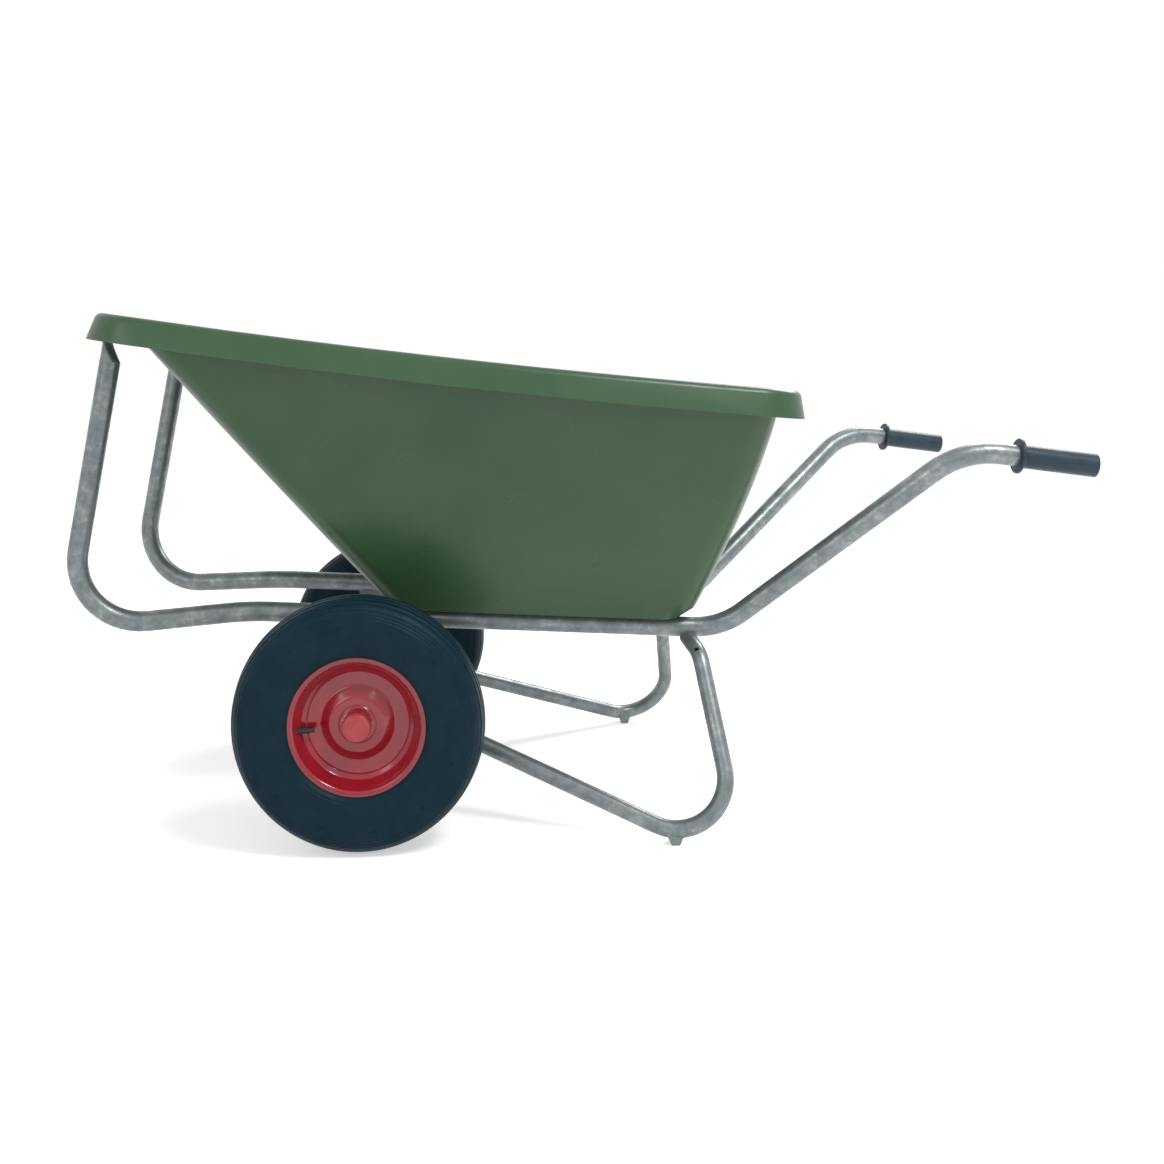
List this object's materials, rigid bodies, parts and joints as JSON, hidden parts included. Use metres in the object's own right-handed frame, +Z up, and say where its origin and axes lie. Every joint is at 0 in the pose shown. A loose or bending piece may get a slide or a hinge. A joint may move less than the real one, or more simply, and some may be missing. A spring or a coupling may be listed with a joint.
{
  "type": "wheelbarrow",
  "caption": "Garden wheelbarrow with a deep moulded tub on a bent steel tube frame, pneumatic wheels on one axle, splayed legs and closed hand grips",
  "frame": {"origin": "on the floor, under the middle of the whole object's box", "axes": "+X towards the hand grips, +Y to the right of the person pushing, +Z up"},
  "size_m": [1.6589, 0.7758, 0.8546],
  "materials": {
    "tub_plastic": "satin",
    "galvanised_tube": "spangled zinc",
    "axle_steel": "satin",
    "zinc_fastener": "zinc plated",
    "grip_plastic": "satin",
    "tyre_rubber": "matte",
    "inner_tube_rubber": "matte",
    "rim_paint": "gloss",
    "bush_nylon": "satin",
    "cap_plastic": "satin",
    "valve_cap_plastic": "satin"
  },
  "bodies": {
    "root": {"tub": "tub_plastic", "side_rail_left": "galvanised_tube", "side_rail_right": "galvanised_tube", "leg_left": "galvanised_tube", "leg_right": "galvanised_tube", "foot_left": "galvanised_tube", "foot_right": "galvanised_tube", "front_cross_bar": "galvanised_tube", "rear_cross_bar": "galvanised_tube", "axle_hanger_left": "galvanised_tube", "axle_hanger_right": "galvanised_tube", "axle": "axle_steel", "axle_spacer_left": "axle_steel", "axle_spacer_right": "axle_steel", "axle_washers": "zinc_fastener", "split_pins": "zinc_fastener", "tub_bolts": "zinc_fastener", "tub_washers": "zinc_fastener", "tub_nuts": "zinc_fastener", "lip_bolts": "zinc_fastener", "lip_washers": "zinc_fastener", "lip_nuts": "zinc_fastener", "hand_grip_left": "grip_plastic", "hand_grip_right": "grip_plastic"},
    "wheel_left": {"tyre_left": "tyre_rubber", "inner_tube_left": "inner_tube_rubber", "rim_outer_left": "rim_paint", "rim_inner_left": "rim_paint", "hub_left": "rim_paint", "hub_bush_outer_left": "bush_nylon", "hub_bush_inner_left": "bush_nylon", "hub_cap_left": "cap_plastic", "valve_stem_left": "inner_tube_rubber", "valve_cap_left": "valve_cap_plastic"},
    "wheel_right": {"tyre_right": "tyre_rubber", "inner_tube_right": "inner_tube_rubber", "rim_outer_right": "rim_paint", "rim_inner_right": "rim_paint", "hub_right": "rim_paint", "hub_bush_outer_right": "bush_nylon", "hub_bush_inner_right": "bush_nylon", "hub_cap_right": "cap_plastic", "valve_stem_right": "inner_tube_rubber", "valve_cap_right": "valve_cap_plastic"}
  },
  "joints": [
    {"name": "wheel_left_spin", "type": "hinge", "parent": "root", "child": "wheel_left", "pos_m": [-0.3427, -0.326, 0.2], "axis": [0, 1, 0], "continuous": true},
    {"name": "wheel_right_spin", "type": "hinge", "parent": "root", "child": "wheel_right", "pos_m": [-0.3427, 0.326, 0.2], "axis": [0, 1, 0], "continuous": true}
  ]
}
